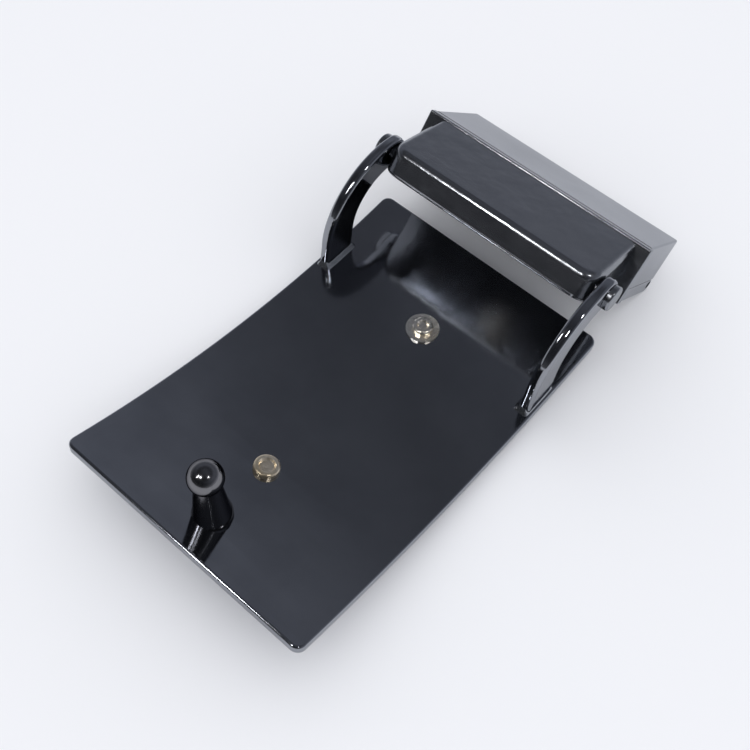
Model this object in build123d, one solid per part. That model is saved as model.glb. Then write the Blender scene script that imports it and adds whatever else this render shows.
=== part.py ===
from build123d import *
import os
from math import asin, cos, degrees, pi, sin

# Reversible strap buckle. A bowed plate carries a hook stud and two curved arms. Between the arms
# hangs a bracket on two headed pins, and a strap clamp swivels on the bracket's back by a sprung post.
#
# Plate frame: X along the plate towards the clamp, Y across it, Z out of its back (wearer's) face,
#   origin at the middle of the back face.
# Clamp frame: origin on the hinge pins' axis, X out of the strap mouth, Z towards the wearer.
# Row frame: the buckle stands face down on a floor at Z = 0, with the clamp hanging to the floor.

# ---- driving dimensions, mm and degrees ----
STRAP_WIDTH = 35.0
PLATE_LENGTH = 63.2
PLATE_WIDTH = 40.0
PLATE_THICK = 1.5
PLATE_CORNER = 1.3
BOW_RADIUS = 140.0            # back face, concave towards the wearer
EDGE_ROUND = 0.35

STANCE_DEG = 4.5              # the plate rocks on its bow until the clamp end comes down this far
DROOP_DEG = 31.5              # the clamp hangs this far below the plate's line

# front plaque, its two rivets and the washer under one of them
PLAQUE_LENGTH = 46.0
PLAQUE_WIDTH = 26.0
PLAQUE_THICK = 0.9
PLAQUE_CORNER = 2.0
RIVET_XS = (-15.65, 16.6)
RIVET_Y = 0.3                 # both rivets sit a little off the middle line
RIVET_RADIUS = 0.9
RIVET_HEAD_RADII = (1.8, 1.5)
RIVET_HEAD_HEIGHT = 0.85
RIVET_RIM = 0.55              # flat rim round the dimple
RIVET_DIMPLE_DEPTH = 0.35
WASHER_RADIUS = 2.45
WASHER_THICK = 0.3

# hook stud
STUD_X = -25.5
STUD_LEAN_DEG = 5.0
STUD_BASE_RADIUS = 2.6
STUD_BASE_HEIGHT = 0.6
STUD_NECK_RADIUS = 1.6
STUD_BALL_RADIUS = 2.25
STUD_BALL_HEIGHT = 10.1
STUD_TAIL_RADIUS = 1.2

# arms and hinge pins
HINGE_X = 28.7
HINGE_Z = 15.3
ARM_THICK = 1.7
ARM_EDGE_ROUND = 0.6
ARM_TIP_RADIUS = 2.3
ARM_INSET = 0.5               # the arms stand this far in from the plate's long edges
FOOT_REAR_X = 15.4
FOOT_FRONT_X = 21.0
FOOT_TOP_Z = 3.6              # up to here the foot's section is one upright rounded rectangle
BRAZE_LEG = 0.8
PIN_RADIUS = 1.2
PIN_HEAD_RADIUS = 1.9
PIN_HEAD_THICK = 0.9
RUNNING_FIT = 0.05
PRESS_PLAY = 0.01             # keeps pressed and riveted pieces from sharing volume

# swivel bracket, clamp frame
BRACKET_GAP = 0.15            # between the bracket's ends and the arms
RIM_FRONT_X = 8.1
RIM_THICK = 1.2
RIM_TOP_Z = 6.35
RIM_BOTTOM_Z = -2.65
RIM_EDGE_ROUND = 0.25
NOSE_X = -3.0
RIDGE_Z = 1.65
NECK_STEP = 0.05              # drop from the rim's top to the neck behind it
NOSE_PLAN_ROUND = 2.6
RIDGE_ROUND = 1.25
NOSE_FOOT_ROUND = 0.6
SKIN = 1.1
COVER_THICK = 0.8
END_WALL = 2.6

# swivel post, spring, washer and clip, clamp frame
POST_RADIUS = 1.1
POST_END_X = 4.0
SPRING_WIRE = 0.3
SPRING_RADIUS = 1.5
SPRING_TURNS = 3
CLIP_THICK = 0.4
CLIP_RADIUS = 1.5
SWIVEL_GAP = 0.35

# strap clamp, clamp frame
CLAMP_DEPTH = 14.4
CASE_HEIGHT = 6.9
CASE_ROOF = 1.4
CASE_BACK = 1.3
CASE_EDGE_ROUND = 0.3
FLAP_SEAM = 0.08
FLAP_FLOOR = 1.3
FLAP_PIN_RADIUS = 0.6
CAM_RADIUS = 1.1
TOOTH_TIP = 2.8
TOOTH_COUNT = 15
LUG_THICK = 1.5

# ---- worked-out places ----
HALF_PLATE = PLATE_WIDTH / 2
ARM_OUT_Y = HALF_PLATE - ARM_INSET
ARM_IN_Y = ARM_OUT_Y - ARM_THICK
BRACKET_HALF = ARM_IN_Y - BRACKET_GAP
RIM_HALF = ARM_OUT_Y + 0.1
CASE_HALF = RIM_HALF - 0.3
RIM_BACK_X = RIM_FRONT_X + RIM_THICK
CASE_X = RIM_BACK_X + SWIVEL_GAP
MOUTH_X = CASE_X + CLAMP_DEPTH
POST_Z = (RIM_TOP_Z + RIM_BOTTOM_Z) / 2
POCKET_X = RIM_FRONT_X - 0.95
SEAT_X = RIM_BACK_X - 1.0
CASE_BOTTOM_Z = RIM_TOP_Z - CASE_HEIGHT
FLAP_TOP_Z = CASE_BOTTOM_Z - FLAP_SEAM
FLAP_PIN_X = MOUTH_X - 1.05
FLAP_PIN_Z = CASE_BOTTOM_Z - 0.97
HINGE = Pos(HINGE_X, 0, HINGE_Z) * Rot(0, DROOP_DEG, 0)


def rod(radius, length, x=0.0, y=0.0, z=0.0):
    """Cylinder along Y, centred on the given point."""
    return Pos(x, y, z) * Rot(90, 0, 0) * Cylinder(radius, length)


def bar(radius, x_low, x_high, z=0.0):
    """Cylinder along X at height z."""
    length = x_high - x_low
    return Pos((x_low + x_high) / 2, 0, z) * Rot(0, 90, 0) * Cylinder(radius, length)


def block(x_low, x_high, half_y, z_low, z_high):
    """Box centred on Y = 0."""
    size = (x_high - x_low, 2 * half_y, z_high - z_low)
    return Pos((x_low + x_high) / 2, 0, (z_low + z_high) / 2) * Box(*size)


def side_prism(points, half_y):
    """Closed XZ outline, extruded to Y = +half_y and -half_y."""
    outline = Plane.XZ * make_face(Polyline(*points, close=True))
    return extrude(outline, amount=half_y, both=True)


def both_sides(shape):
    """The shape and its mirror image across Y = 0, as separate solids."""
    return Compound([shape, mirror(shape, about=Plane.XZ)])


def back_z(x):
    """Height of the plate's back face at x."""
    return BOW_RADIUS - (BOW_RADIUS**2 - x**2) ** 0.5


def bowed_sheet(length, width, corner, depth, thick):
    """Rounded rectangle bent to the plate's bow, its back face `depth` in front of the plate's."""
    inner = rod(BOW_RADIUS + depth, 2 * width, z=BOW_RADIUS)
    outer = rod(BOW_RADIUS + depth + thick, 2 * width, z=BOW_RADIUS)
    prism = extrude(RectangleRounded(length, width, corner), amount=8, both=True)
    sheet = (outer - inner) & prism
    rims = sheet.edges().filter_by(Axis.Z, reverse=True)
    return fillet(rims, EDGE_ROUND)


def make_plate():
    """Bowed plate, drilled for the stud's tail and the plaque rivets."""
    plate = bowed_sheet(PLATE_LENGTH, PLATE_WIDTH, PLATE_CORNER, 0, PLATE_THICK)
    for x in RIVET_XS:
        plate -= rivet_shank(x, PRESS_PLAY)
    return plate - stud_tail(PRESS_PLAY)


def make_plaque():
    """Plain front plaque that follows the plate's bow."""
    plaque = bowed_sheet(PLAQUE_LENGTH, PLAQUE_WIDTH, PLAQUE_CORNER, PLATE_THICK, PLAQUE_THICK)
    for x in RIVET_XS:
        plaque -= rivet_shank(x, PRESS_PLAY)
    return plaque


def on_back(x):
    """Place on the plate's back face at x, Z along the bow's own normal."""
    return Pos(x, 0, back_z(x)) * Rot(0, -degrees(asin(x / BOW_RADIUS)), 0)


def behind_plate(play=0.0):
    """The space inside the bow, which everything that stands on the back face is cut to."""
    return rod(BOW_RADIUS - play, 4 * HALF_PLATE, z=BOW_RADIUS)


def rivet_place(x):
    """Where the rivet at x comes out of the back face."""
    return on_back(x) * Pos(0, RIVET_Y, 0)


def rivet_shank(x, play=0.0):
    """Shank from under the head to its tail, sunk in the plaque; play makes the hole for it."""
    tail = -PLATE_THICK - 0.6 * PLAQUE_THICK - play
    return rivet_place(x) * Pos(0, 0, (tail + 0.2) / 2) * Cylinder(RIVET_RADIUS + play, 0.2 - tail)


def make_rivet(x, radius):
    """Peened rivet: low head with a dimple over the back face, or over the washer, and a plain shank."""
    seat = WASHER_THICK + PRESS_PLAY if x == max(RIVET_XS) else 0
    head = Pos(0, 0, RIVET_HEAD_HEIGHT / 2) * Cylinder(radius, RIVET_HEAD_HEIGHT)
    head = fillet(head.faces().sort_by(Axis.Z)[-1].edges(), 0.4)
    head -= Pos(0, 0, RIVET_HEAD_HEIGHT) * Cone(radius - 0.9, radius - RIVET_RIM + 0.2, 2 * RIVET_DIMPLE_DEPTH)
    neck = Pos(0, 0, seat / 2 + 0.1) * Cylinder(RIVET_RADIUS, seat + 0.2)
    return (rivet_place(x) * (Pos(0, 0, seat) * head + neck) & behind_plate(PRESS_PLAY)) + rivet_shank(x)


def make_rivets():
    """Both plaque rivets, kept as separate solids."""
    return Compound([make_rivet(x, radius) for x, radius in zip(RIVET_XS, RIVET_HEAD_RADII)])


def make_rivet_washer():
    """Flat ring under the rivet nearest the clamp, bedded on the bowed plate."""
    ring = Cylinder(WASHER_RADIUS, 2 * WASHER_THICK) - Cylinder(RIVET_RADIUS + PRESS_PLAY, 2)
    return rivet_place(max(RIVET_XS)) * ring & behind_plate(PRESS_PLAY)


def stud_place():
    """The stud's own frame: its axis leans away from the clamp, so the strap can't slip off."""
    return Pos(STUD_X, 0, back_z(STUD_X)) * Rot(0, -STUD_LEAN_DEG, 0)


def stud_tail(play=0.0):
    """Tail that is riveted into the plate; play makes the hole for it."""
    return stud_place() * Pos(0, 0, -PLATE_THICK / 2) * Cylinder(STUD_TAIL_RADIUS + play, PLATE_THICK + 0.6)


def make_stud():
    """Turned stud: flanged base, long taper and ball."""
    neck_top = STUD_BALL_HEIGHT - (STUD_BALL_RADIUS**2 - STUD_NECK_RADIUS**2) ** 0.5
    taper = neck_top - STUD_BASE_HEIGHT
    base = Pos(0, 0, STUD_BASE_HEIGHT / 2 - 0.25) * Cylinder(STUD_BASE_RADIUS, STUD_BASE_HEIGHT + 0.5)
    cone = Cone(STUD_BASE_RADIUS - 0.15, STUD_NECK_RADIUS, taper + 0.3)
    cone = Pos(0, 0, STUD_BASE_HEIGHT + (taper + 0.3) / 2) * cone
    ball = Pos(0, 0, STUD_BALL_HEIGHT) * Sphere(STUD_BALL_RADIUS)
    stud = stud_place() * (base + cone + ball)
    tail = stud_tail() & rod(BOW_RADIUS + 0.8 * PLATE_THICK, 4 * HALF_PLATE, z=BOW_RADIUS)
    return (stud & behind_plate()) + tail


def arm_outline():
    """XZ outline of an arm: a flat bar that rises from the plate and curls over to the pin."""
    tip_top = (HINGE_X, HINGE_Z + ARM_TIP_RADIUS)
    tip_end = (HINGE_X + ARM_TIP_RADIUS, HINGE_Z)
    tip_low = (HINGE_X, HINGE_Z - ARM_TIP_RADIUS)
    outer_foot = (FOOT_REAR_X, 4.2)
    inner_foot = (FOOT_FRONT_X, 5.6)
    low = -2.0
    edges = [
        Line((FOOT_REAR_X, low), outer_foot),
        ThreePointArc(outer_foot, (19.1, 14.1), tip_top),
        ThreePointArc(tip_top, tip_end, tip_low),
        ThreePointArc(tip_low, (22.9, 10.8), inner_foot),
        Line(inner_foot, (FOOT_FRONT_X, low)),
        Line((FOOT_FRONT_X, low), (FOOT_REAR_X, low)),
    ]
    return Plane.XZ * make_face(edges)


def make_left_arm():
    """Left arm: round-edged bar just inside the plate's long edge, drilled for the hinge pin."""
    mid_y = (ARM_OUT_Y + ARM_IN_Y) / 2
    arm = Pos(0, mid_y, 0) * extrude(arm_outline(), amount=ARM_THICK / 2, both=True)
    arm = fillet(arm.faces().filter_by(Axis.Y).edges(), ARM_EDGE_ROUND)
    arm -= rod(PIN_RADIUS + RUNNING_FIT, 4 * HALF_PLATE, x=HINGE_X, z=HINGE_Z)
    return arm & behind_plate()


def make_left_braze():
    """Fillet of brazing metal round the foot of the left arm."""
    mid_x = (FOOT_REAR_X + FOOT_FRONT_X) / 2
    foot_length = FOOT_FRONT_X - FOOT_REAR_X
    y_low, y_high = ARM_IN_Y - BRAZE_LEG, HALF_PLATE - 0.1
    seam = extrude(RectangleRounded(foot_length + 2 * BRAZE_LEG, y_high - y_low, 0.8), amount=1.4, taper=38)
    tilt = Rot(0, -degrees(asin(mid_x / BOW_RADIUS)), 0)
    seam = Pos(mid_x, (y_low + y_high) / 2, back_z(mid_x) - 0.35) * tilt * seam
    foot = extrude(RectangleRounded(foot_length, ARM_THICK, ARM_EDGE_ROUND), amount=FOOT_TOP_Z, both=True)
    foot = Pos(mid_x, (ARM_OUT_Y + ARM_IN_Y) / 2, 0) * foot
    return (seam & behind_plate()) - foot


def make_hinge_pins():
    """Two short headed pins: heads outside the arms, shanks pressed into the bracket's end walls."""
    head_y = ARM_OUT_Y + 0.04
    shank_in = BRACKET_HALF - END_WALL + 0.3
    shank = rod(PIN_RADIUS, head_y - shank_in, y=(head_y + shank_in) / 2)
    head = rod(PIN_HEAD_RADIUS, PIN_HEAD_THICK, y=head_y + PIN_HEAD_THICK / 2)
    crown = head.edges().filter_by(GeomType.CIRCLE).sort_by(Axis.Y)[-1]
    return both_sides(shank + fillet(crown, 0.35))


def bracket_slope(inset, x):
    """Height of the bracket's sloping top at x, moved `inset` inwards."""
    slope = (RIM_TOP_Z - NECK_STEP - RIDGE_Z) / (RIM_FRONT_X - NOSE_X)
    return RIDGE_Z + slope * (x - NOSE_X) - inset * (1 + slope**2) ** 0.5


def make_wedge():
    """Solid wedge of the bracket: nose corners rounded, then its ridge and top end edges."""
    bottom = RIM_BOTTOM_Z + 0.25
    outline = [
        (NOSE_X + 0.3, bottom), (RIM_FRONT_X + 0.5, bottom),
        (RIM_FRONT_X + 0.5, bracket_slope(0, RIM_FRONT_X)), (NOSE_X, bracket_slope(0, NOSE_X)),
    ]
    wedge = side_prism(outline, BRACKET_HALF)
    ends = wedge.edges().filter_by(lambda edge: abs(edge.center().Y) > 1)
    wedge = fillet(ends.sort_by(Axis.X)[:2], NOSE_PLAN_ROUND)
    wedge = fillet(wedge.faces().sort_by(Axis.Z)[-1].edges().sort_by(Axis.X)[:-1], RIDGE_ROUND)
    return fillet(wedge.faces().sort_by(Axis.Z)[0].edges().sort_by(Axis.X)[:-1], NOSE_FOOT_ROUND)


def make_bracket():
    """Hollow wedge between the arms, with the rectangular rim that the clamp seats on."""
    wedge = make_wedge()
    rim = block(RIM_FRONT_X, RIM_BACK_X, RIM_HALF, RIM_BOTTOM_Z, RIM_TOP_Z)
    rim = fillet(rim.edges().filter_by(Axis.X), RIM_EDGE_ROUND)
    rim = fillet(rim.faces().sort_by(Axis.X)[0].edges(), RIM_EDGE_ROUND - 0.02)
    bracket = wedge + rim - bracket_pocket(0, RIM_BOTTOM_Z - 1)
    bracket -= bar(CLIP_RADIUS + 0.15, POST_END_X - 0.3, SEAT_X, POST_Z)
    bracket -= bar(POST_RADIUS + RUNNING_FIT, POST_END_X - 0.3, RIM_BACK_X + 1, POST_Z)
    for side in (1, -1):
        bracket -= rod(PIN_RADIUS + PRESS_PLAY, END_WALL + 1, y=side * (BRACKET_HALF - END_WALL / 2 + 0.3))
    return bracket


def bracket_pocket(play, bottom):
    """Hollow of the bracket, open at the face away from the wearer."""
    nose = NOSE_X + 1.6 + play
    outline = [
        (nose, bottom), (POCKET_X - play, bottom),
        (POCKET_X - play, bracket_slope(SKIN, POCKET_X)), (nose, bracket_slope(SKIN, nose)),
    ]
    return side_prism(outline, BRACKET_HALF - END_WALL - play)


def make_bracket_cover():
    """Plate pressed into the pocket's mouth, flush with the bracket's outer face."""
    bottom = RIM_BOTTOM_Z + 0.25
    mouth = bracket_pocket(0.02, bottom)
    return mouth & block(NOSE_X, RIM_BACK_X, PLATE_WIDTH, bottom, bottom + COVER_THICK)


def clip_x():
    """Where the retaining clip starts along the post."""
    return POST_END_X + 0.2


def washer_x():
    """Where the thrust washer starts along the post."""
    return clip_x() + CLIP_THICK + 0.02


def spring_x():
    """Where the spring starts along the post."""
    return washer_x() + CLIP_THICK + 0.02


def make_post():
    """Swivel post: collar riveted to the case, bearing through the rim, groove for the clip."""
    post = bar(POST_RADIUS, POST_END_X, CASE_X + CASE_BACK, POST_Z)
    head = bar(POST_RADIUS + 0.9, CASE_X + CASE_BACK, CASE_X + CASE_BACK + 0.6, POST_Z)
    groove = bar(POST_RADIUS + 1, clip_x(), clip_x() + CLIP_THICK, POST_Z)
    groove -= bar(POST_RADIUS - 0.3, 0, MOUTH_X, POST_Z)
    return post + head - groove


def make_clip():
    """Retaining C-clip snapped into the post's groove."""
    ring = bar(CLIP_RADIUS, clip_x(), clip_x() + CLIP_THICK, POST_Z)
    ring -= bar(POST_RADIUS - 0.3, 0, MOUTH_X, POST_Z)
    gap = Pos(clip_x(), 0, POST_Z - CLIP_RADIUS) * Box(3, 1.5, 2 * CLIP_RADIUS)
    return ring - gap


def make_thrust_washer():
    """Washer that passes the spring's push to the clip."""
    ring = bar(CLIP_RADIUS + 0.05, washer_x(), washer_x() + CLIP_THICK, POST_Z)
    return ring - bar(POST_RADIUS + RUNNING_FIT, 0, MOUTH_X, POST_Z)


def make_spring():
    """Compression spring between the thrust washer and the bracket's back wall."""
    low = spring_x() + SPRING_WIRE / 2 + 0.02
    length = SEAT_X - low - SPRING_WIRE / 2 - 0.02
    path = Helix(pitch=length / SPRING_TURNS, height=length, radius=SPRING_RADIUS - SPRING_WIRE / 2)
    wire = Plane(origin=path @ 0, z_dir=path % 0) * Circle(SPRING_WIRE / 2)
    return Pos(low, 0, POST_Z) * Rot(0, 90, 0) * sweep(wire, path=path)


def make_swivel_washer():
    """Thin spacing washer in the seam between the rim and the case."""
    ring = bar(3.4, RIM_BACK_X + 0.02, CASE_X - 0.02, POST_Z)
    return ring - bar(POST_RADIUS + RUNNING_FIT, 0, MOUTH_X, POST_Z)


def make_case():
    """Upper half of the strap clamp: roof, back wall, end walls and two lugs for the flap pin."""
    inner_half = STRAP_WIDTH / 2 + 0.05
    case = block(CASE_X, MOUTH_X, CASE_HALF, CASE_BOTTOM_Z, RIM_TOP_Z)
    case = fillet(case.edges().filter_by(Axis.X).sort_by(Axis.Z)[2:], CASE_EDGE_ROUND)
    case = fillet(case.faces().sort_by(Axis.X)[-1].edges().sort_by(Axis.Z)[1:], CASE_EDGE_ROUND - 0.05)
    case -= block(CASE_X + CASE_BACK, MOUTH_X + 1, inner_half, CASE_BOTTOM_Z - 1, RIM_TOP_Z - CASE_ROOF)
    lug_half = inner_half + 0.3
    lug = block(FLAP_PIN_X - 0.85, FLAP_PIN_X + 0.85, lug_half, FLAP_PIN_Z, CASE_BOTTOM_Z + 1.1)
    lug += rod(0.85, 2 * lug_half, x=FLAP_PIN_X, z=FLAP_PIN_Z)
    lug -= block(0, MOUTH_X + 1, inner_half - LUG_THICK, -9, 9)
    lug -= block(0, MOUTH_X + 1, lug_half + 1, -9, CASE_BOTTOM_Z) - block(0, MOUTH_X + 1, inner_half, -9, 9)
    case += lug
    case -= rod(FLAP_PIN_RADIUS + PRESS_PLAY, 2 * inner_half + 1, x=FLAP_PIN_X, z=FLAP_PIN_Z)
    return case - bar(POST_RADIUS + PRESS_PLAY, 0, CASE_X + 2, POST_Z)


def flap_outline():
    """XZ outline of the flap's closed height, rounded about its pin at the strap mouth."""
    low = RIM_BOTTOM_Z
    end = 0.9
    return [
        (CASE_X + 0.05, low), (FLAP_PIN_X + 0.1, low), (FLAP_PIN_X + end, low + 0.75),
        (FLAP_PIN_X + end, FLAP_PIN_Z), (FLAP_PIN_X + end * cos(pi / 6), FLAP_PIN_Z + end * sin(pi / 6)),
        (FLAP_PIN_X + end * cos(pi / 3), FLAP_PIN_Z + end * sin(pi / 3)),
        (FLAP_PIN_X, FLAP_TOP_Z), (CASE_X + 0.05, FLAP_TOP_Z),
    ]


def make_flap():
    """Locking flap: floor and two cheeks, with a toothed cam beside the pin that bites the strap."""
    inner_half = STRAP_WIDTH / 2 + 0.15
    cam_half = STRAP_WIDTH / 2 - LUG_THICK - 0.15
    floor_top = RIM_BOTTOM_Z + FLAP_FLOOR
    flap = side_prism(flap_outline(), CASE_HALF)
    flap -= block(CASE_X - 1, MOUTH_X + 2, inner_half, floor_top, 9)
    flap -= block(FLAP_PIN_X - 1.15, MOUTH_X + 1, inner_half, -9, 9)
    flap += flap_tongue(cam_half, floor_top)
    bore = rod(FLAP_PIN_RADIUS + RUNNING_FIT, 3 * CASE_HALF, x=FLAP_PIN_X, z=FLAP_PIN_Z)
    return flap - bore


def flap_tongue(half, floor_top):
    """Middle of the flap between the lugs: it carries the cam and its row of teeth."""
    tongue = side_prism(flap_outline(), half) & block(FLAP_PIN_X - 2, MOUTH_X, half, -9, floor_top)
    cam = rod(CAM_RADIUS, 2 * half, x=FLAP_PIN_X, z=FLAP_PIN_Z)
    cam &= block(0, FLAP_PIN_X + 0.9, half, -9, 9)
    pitch = 2 * half / TOOTH_COUNT
    tip = Pos(FLAP_PIN_X, 0, FLAP_PIN_Z) * Rot(0, -20, 0)
    teeth = side_prism([(-1.2, 0), (1.0, 0), (0.25, TOOTH_TIP), (-0.25, TOOTH_TIP)], half)
    for step in range(1, TOOTH_COUNT):
        y = -half + step * pitch
        notch = extrude(Plane.YZ * Polygon((y - 0.6, TOOTH_TIP + 0.1), (y + 0.6, TOOTH_TIP + 0.1),
                                           (y, TOOTH_TIP - 1.0), align=None), amount=3, both=True)
        teeth -= notch
    return tongue + cam + tip * teeth


def make_flap_pin():
    """Long pin through the flap's cheeks and the case's lugs."""
    return rod(FLAP_PIN_RADIUS, 2 * CASE_HALF - 0.3, x=FLAP_PIN_X, z=FLAP_PIN_Z)


def plate_nodes():
    """Everything fixed to the plate, in the plate frame."""
    left_arm = make_left_arm()
    left_braze = make_left_braze()
    return {
        "buckle_plate": make_plate(),
        "front_plaque": make_plaque(),
        "plaque_rivets": make_rivets(),
        "rivet_washer": make_rivet_washer(),
        "hook_stud": make_stud(),
        "left_arm": left_arm,
        "right_arm": mirror(left_arm, about=Plane.XZ),
        "left_arm_braze": left_braze,
        "right_arm_braze": mirror(left_braze, about=Plane.XZ),
    }


def clamp_nodes():
    """Everything that hangs on the hinge pins, in the clamp frame."""
    return {
        "hinge_pins": make_hinge_pins(),
        "swivel_bracket": make_bracket(),
        "bracket_cover": make_bracket_cover(),
        "swivel_post": make_post(),
        "post_spring": make_spring(),
        "thrust_washer": make_thrust_washer(),
        "retaining_clip": make_clip(),
        "swivel_washer": make_swivel_washer(),
        "clamp_case": make_case(),
        "clamp_flap": make_flap(),
        "flap_pin": make_flap_pin(),
    }


def stand_on_floor(nodes):
    """Row frame: stance tilt, lowest point at Z = 0, middle of the footprint at X = 0."""
    tilted = {name: Rot(0, STANCE_DEG, 0) * shape for name, shape in nodes.items()}
    boxes = [shape.bounding_box() for shape in tilted.values()]
    x_mid = (min(b.min.X for b in boxes) + max(b.max.X for b in boxes)) / 2
    z_low = min(b.min.Z for b in boxes)
    return {name: Pos(-x_mid, 0, -z_low) * shape for name, shape in tilted.items()}, x_mid, z_low


def main():
    """Build every node and write one STEP each."""
    nodes = plate_nodes()
    nodes.update({name: HINGE * shape for name, shape in clamp_nodes().items()})
    placed, x_mid, z_low = stand_on_floor(nodes)
    print("row frame offset:", round(-x_mid, 4), round(-z_low, 4))
    os.makedirs("parts", exist_ok=True)
    for name, shape in placed.items():
        export_step(shape, f"parts/{name}.step")


main()
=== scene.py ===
from math import radians

import bpy
from mathutils import Matrix, Vector


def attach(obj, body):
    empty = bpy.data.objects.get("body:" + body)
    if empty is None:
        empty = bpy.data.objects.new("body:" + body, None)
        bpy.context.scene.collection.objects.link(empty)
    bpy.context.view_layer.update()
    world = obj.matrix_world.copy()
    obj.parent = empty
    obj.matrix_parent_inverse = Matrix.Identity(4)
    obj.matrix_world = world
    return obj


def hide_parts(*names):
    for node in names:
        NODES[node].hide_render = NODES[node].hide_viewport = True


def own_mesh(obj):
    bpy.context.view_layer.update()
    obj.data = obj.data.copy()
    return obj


# Black-nickel strap buckle, face down on a pale table. Metres, the row's frame.

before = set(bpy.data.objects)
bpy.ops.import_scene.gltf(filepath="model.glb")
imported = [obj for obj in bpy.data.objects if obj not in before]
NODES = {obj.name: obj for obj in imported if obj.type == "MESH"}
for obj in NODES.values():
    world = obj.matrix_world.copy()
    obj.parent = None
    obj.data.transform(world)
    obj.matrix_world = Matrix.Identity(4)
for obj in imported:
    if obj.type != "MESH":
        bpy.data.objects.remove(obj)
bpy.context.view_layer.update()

# Sky that is seen in reflections: (height of the direction, brightness)
SKY_STOPS = (
    (0.0, 0.85), (0.08, 0.7), (0.2, 0.36), (0.38, 0.2),
    (0.58, 0.24), (0.74, 0.11), (0.82, 0.085), (1.0, 0.15),
)
BLUE_BELOW = 0.25             # a brightness up to this is as blue as the sky gets
DARK_SIDE = 0.14              # share of the brightness left towards -X
DARK_SIDE_X = (-0.8, 0.3)     # X of the direction: darkest below the first, full above the second
SOFTBOX = (1.05, 1.05, 1.07)  # even sky that every other ray sees

# Lights that show only in reflections: name, direction, (width, height) in metres, watts
GLINTS = (
    ("window", (-0.517, 0.024, 0.752), (0.09, 0.14), 1.2),
    ("lamp", (-0.052, -0.563, 0.893), (0.07, 0.09), 0.8),
    ("strip", (-0.6, 0.28, 0.7), (0.04, 0.3), 1.4),
)

FLOOR_REACH = 3.0
FLOOR_COLOURS = ((0.88, 0.89, 0.92), (0.865, 0.88, 0.912))
FLOOR_HAZE_SCALE = 14
FLOOR_ROUGHNESS = 0.6

# Metal surfaces, metres; noise scales are per metre
HAZE_SCALE = 90
HAZE_COLOUR = (0.35, 0.7)     # noise that gives the clean colour and the smudge's
HAZE_ROUGH = (0.35, 0.75)     # noise that gives the low and the high roughness
WAVE_HEIGHT = 0.0002
WEAR_WIDTH = 0.0003
WEAR = 0.35                   # most that an edge is rubbed
WEAR_FACING = (0.9, 0.995)    # true normal against the rounded one: rubbed most, not rubbed
WEAR_GAIN = 1.6               # how much brighter rubbed metal is

# The plate's own frame lies in the row's tilted by STANCE and moved by OFFSET
STANCE = radians(4.5)
OFFSET = Vector((-10.7915, 0, 2.8477)) / 1000

# Camera, in the plate's own frame
SENSOR_MM = 36
FRAME_PX = 750
FOCAL_PX = 1022.0             # for a frame of FRAME_PX
CLIP = (0.005, 20)
EYE = Vector((-65.54, -44.05, 115.97)) / 1000
RIGHT = Vector((0.6453, -0.756, 0.1098))
DOWN = Vector((-0.5777, -0.577, -0.5773))
FORWARD = Vector((0.4998, 0.3091, -0.8091))


def from_plate(v):
    """A vector in the plate's own frame, turned into the row's."""
    return Matrix.Rotation(STANCE, 3, "Y") @ Vector(v)


# ---- node materials ----
def new_material(name):
    """Empty node material with a Principled shader: (material, tree, shader)."""
    material = bpy.data.materials.new(name)
    material.use_nodes = True
    tree = material.node_tree
    return material, tree, tree.nodes["Principled BSDF"]


def add(tree, kind, **settings):
    """Adds a node and sets its properties, or the inputs of those names."""
    node = tree.nodes.new(kind)
    for key, value in settings.items():
        if hasattr(node, key):
            setattr(node, key, value)
        else:
            node.inputs[key.replace("_", " ").title()].default_value = value
    return node


def position(tree):
    """Object coordinates."""
    return add(tree, "ShaderNodeTexCoord").outputs["Object"]


def noise(tree, place, scale, detail):
    """Noise value between 0 and 1."""
    node = add(tree, "ShaderNodeTexNoise", scale=scale, detail=detail)
    tree.links.new(place, node.inputs["Vector"])
    return node.outputs["Fac"]


def spread(tree, value, low, high, out_low, out_high):
    """Maps a value from one range to another, clamped."""
    node = add(tree, "ShaderNodeMapRange")
    tree.links.new(value, node.inputs["Value"])
    for key, number in zip(("From Min", "From Max", "To Min", "To Max"), (low, high, out_low, out_high)):
        node.inputs[key].default_value = number
    return node.outputs["Result"]


def mix_colour(tree, factor, first, second, blend="MIX"):
    """Mixes two colours by a factor; each of the three is a plain value or another node's output."""
    node = add(tree, "ShaderNodeMix", data_type="RGBA", blend_type=blend)
    for socket, value in ((node.inputs["Factor"], factor), (node.inputs[6], first), (node.inputs[7], second)):
        if isinstance(value, bpy.types.NodeSocket):
            tree.links.new(value, socket)
        else:
            socket.default_value = (*value, 1) if isinstance(value, tuple) else value
    return node.outputs[2]


def edge_wear(tree):
    """0 on flat faces, rising to WEAR at convex and concave edges."""
    flat = add(tree, "ShaderNodeNewGeometry")
    bevel = add(tree, "ShaderNodeBevel", samples=4, radius=WEAR_WIDTH)
    facing = add(tree, "ShaderNodeVectorMath", operation="DOT_PRODUCT")
    tree.links.new(flat.outputs["Normal"], facing.inputs[0])
    tree.links.new(bevel.outputs["Normal"], facing.inputs[1])
    return spread(tree, facing.outputs["Value"], *WEAR_FACING, WEAR, 0)


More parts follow.
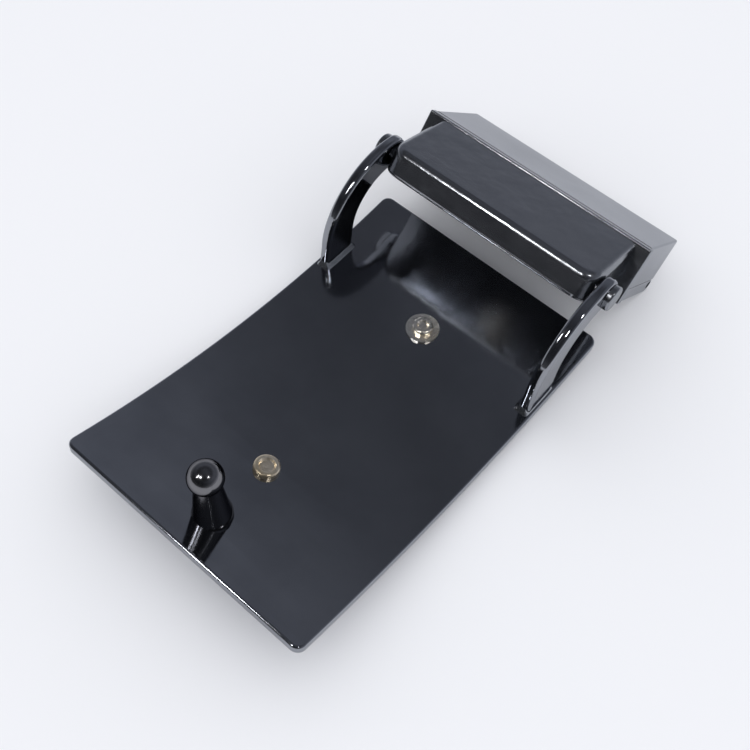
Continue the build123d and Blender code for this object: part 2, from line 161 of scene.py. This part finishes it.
def metal(name, colour, smudge, rough, wave, grazing=(0.74, 0.75, 0.77), grain=260):
    """Metal with handling haze, rubbed edges and a fine wave; `grazing` tints what it reflects edge-on."""
    material, tree, shader = new_material(name)
    place = position(tree)
    haze = noise(tree, place, HAZE_SCALE, 4)
    body = mix_colour(tree, spread(tree, haze, *HAZE_COLOUR, 0, 1), colour, smudge)
    rubbed = tuple(min(1, WEAR_GAIN * part) for part in colour)
    tree.links.new(mix_colour(tree, edge_wear(tree), body, rubbed), shader.inputs["Base Color"])
    tree.links.new(spread(tree, haze, *HAZE_ROUGH, *rough), shader.inputs["Roughness"])
    bump = add(tree, "ShaderNodeBump", strength=wave, distance=WAVE_HEIGHT)
    tree.links.new(noise(tree, place, grain, 2), bump.inputs["Height"])
    tree.links.new(bump.outputs["Normal"], shader.inputs["Normal"])
    shader.inputs["Metallic"].default_value = 1.0
    shader.inputs["Specular Tint"].default_value = (*grazing, 1)
    return material


NICKEL = metal("black_nickel", (0.33, 0.34, 0.365), (0.26, 0.27, 0.295), (0.06, 0.13), 0.05)
NICKEL_CAST = metal("black_nickel_cast", (0.30, 0.31, 0.33), (0.26, 0.27, 0.29), (0.16, 0.27), 0.45)
# Same black nickel as the plate, painted darker and given a dim grazing tint: painted shade on the stud and
# in what it reflects.
NICKEL_STUD_PAINTED_SHADE = metal(
    "black_nickel_stud_painted_shade", (0.2, 0.2, 0.21), (0.17, 0.17, 0.18), (0.12, 0.2), 0.1, grazing=(0.22, 0.22, 0.23),
)
RIVET = metal(
    "rivet_metal", (1.0, 0.97, 0.9), (0.86, 0.7, 0.46), (0.2, 0.38), 0.55, grazing=(1, 1, 1), grain=1400,
)
STEEL = metal("steel", (0.62, 0.62, 0.64), (0.5, 0.5, 0.52), (0.2, 0.35), 0.1)

LOOKS = {
    NICKEL_STUD_PAINTED_SHADE: ("hook_stud",),
    NICKEL: ("buckle_plate", "left_arm", "right_arm", "clamp_case", "clamp_flap", "flap_pin"),
    NICKEL_CAST: ("front_plaque", "left_arm_braze", "right_arm_braze", "hinge_pins", "swivel_bracket",
                  "bracket_cover"),
    RIVET: ("plaque_rivets", "rivet_washer"),
    STEEL: ("post_spring", "thrust_washer", "retaining_clip", "swivel_post", "swivel_washer"),
}
for look, names in LOOKS.items():
    for node_name in names:
        NODES[node_name].data.materials.clear()
        NODES[node_name].data.materials.append(look)


def make_spring():
    """Stands for the CAD spring: a copy of its mesh, carried by the bracket."""
    coil = bpy.data.objects.new("post_spring_coil", NODES["post_spring"].data.copy())
    bpy.context.scene.collection.objects.link(coil)
    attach(coil, "bracket")
    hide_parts("post_spring")
    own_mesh(coil)


# ---- camera ----
def make_camera():
    """Camera at the viewing angle of the product shot."""
    data = bpy.data.cameras.new("camera")
    data.sensor_width = SENSOR_MM
    data.lens = SENSOR_MM * FOCAL_PX / FRAME_PX
    camera = bpy.data.objects.new("camera", data)
    bpy.context.scene.collection.objects.link(camera)
    axes = [from_plate(v).normalized() for v in (RIGHT, -DOWN, -FORWARD)]
    turn = Matrix(axes).transposed().to_4x4()
    camera.matrix_world = Matrix.Translation(from_plate(EYE) + OFFSET) @ turn
    data.clip_start, data.clip_end = CLIP
    bpy.context.scene.camera = camera


# ---- floor, sky and lights ----
def make_floor():
    """Plain pale table top."""
    mesh = bpy.data.meshes.new("floor")
    corners = [(x * FLOOR_REACH, y * FLOOR_REACH, 0) for x, y in ((-1, -1), (1, -1), (1, 1), (-1, 1))]
    mesh.from_pydata(corners, [], [(0, 1, 2, 3)])
    floor = bpy.data.objects.new("floor", mesh)
    bpy.context.scene.collection.objects.link(floor)
    material, tree, shader = new_material("pale_table")
    haze = noise(tree, position(tree), FLOOR_HAZE_SCALE, 2)
    tree.links.new(mix_colour(tree, haze, *FLOOR_COLOURS), shader.inputs["Base Color"])
    shader.inputs["Roughness"].default_value = FLOOR_ROUGHNESS
    mesh.materials.append(material)


def sky_colour(value):
    """Colour for a brightness, bluer the darker it is."""
    blue = min(1, BLUE_BELOW / value)
    return value * (1 - 0.06 * blue), value, value * (1.03 + 0.15 * blue), 1


def make_sky():
    """Two skies: reflections see one that is darker overhead and towards -X, all other rays an even one."""
    world = bpy.data.worlds.new("sky")
    world.use_nodes = True
    tree = world.node_tree
    background = tree.nodes["Background"]
    split = add(tree, "ShaderNodeSeparateXYZ")
    tree.links.new(add(tree, "ShaderNodeTexCoord").outputs["Generated"], split.inputs["Vector"])
    ramp = add(tree, "ShaderNodeValToRGB")
    tree.links.new(split.outputs["Z"], ramp.inputs["Fac"])
    elements = ramp.color_ramp.elements
    while len(elements) < len(SKY_STOPS):
        elements.new(0.5)
    for element, (place, value) in zip(elements, SKY_STOPS):
        element.position = place
        element.color = sky_colour(value)
    side = spread(tree, split.outputs["X"], *DARK_SIDE_X, DARK_SIDE, 1)
    reflected = mix_colour(tree, 1, ramp.outputs["Color"], side, "MULTIPLY")
    is_reflection = add(tree, "ShaderNodeLightPath").outputs["Is Glossy Ray"]
    tree.links.new(mix_colour(tree, is_reflection, SOFTBOX, reflected), background.inputs["Color"])
    background.inputs["Strength"].default_value = 1.0
    bpy.context.scene.world = world


def make_glint(name, toward, size, power):
    """Light one metre away in the direction `toward`, left out of diffuse light."""
    data = bpy.data.lights.new(name, "AREA")
    data.shape = "RECTANGLE"
    data.size, data.size_y = size
    data.energy = power
    light = bpy.data.objects.new(name, data)
    bpy.context.scene.collection.objects.link(light)
    light.location = Vector(toward).normalized()
    light.rotation_euler = (-light.location).to_track_quat("-Z", "Y").to_euler()
    light.visible_diffuse = False


make_spring()
make_camera()
make_floor()
make_sky()
for glint in GLINTS:
    make_glint(*glint)
bpy.context.scene.view_settings.view_transform = "Standard"
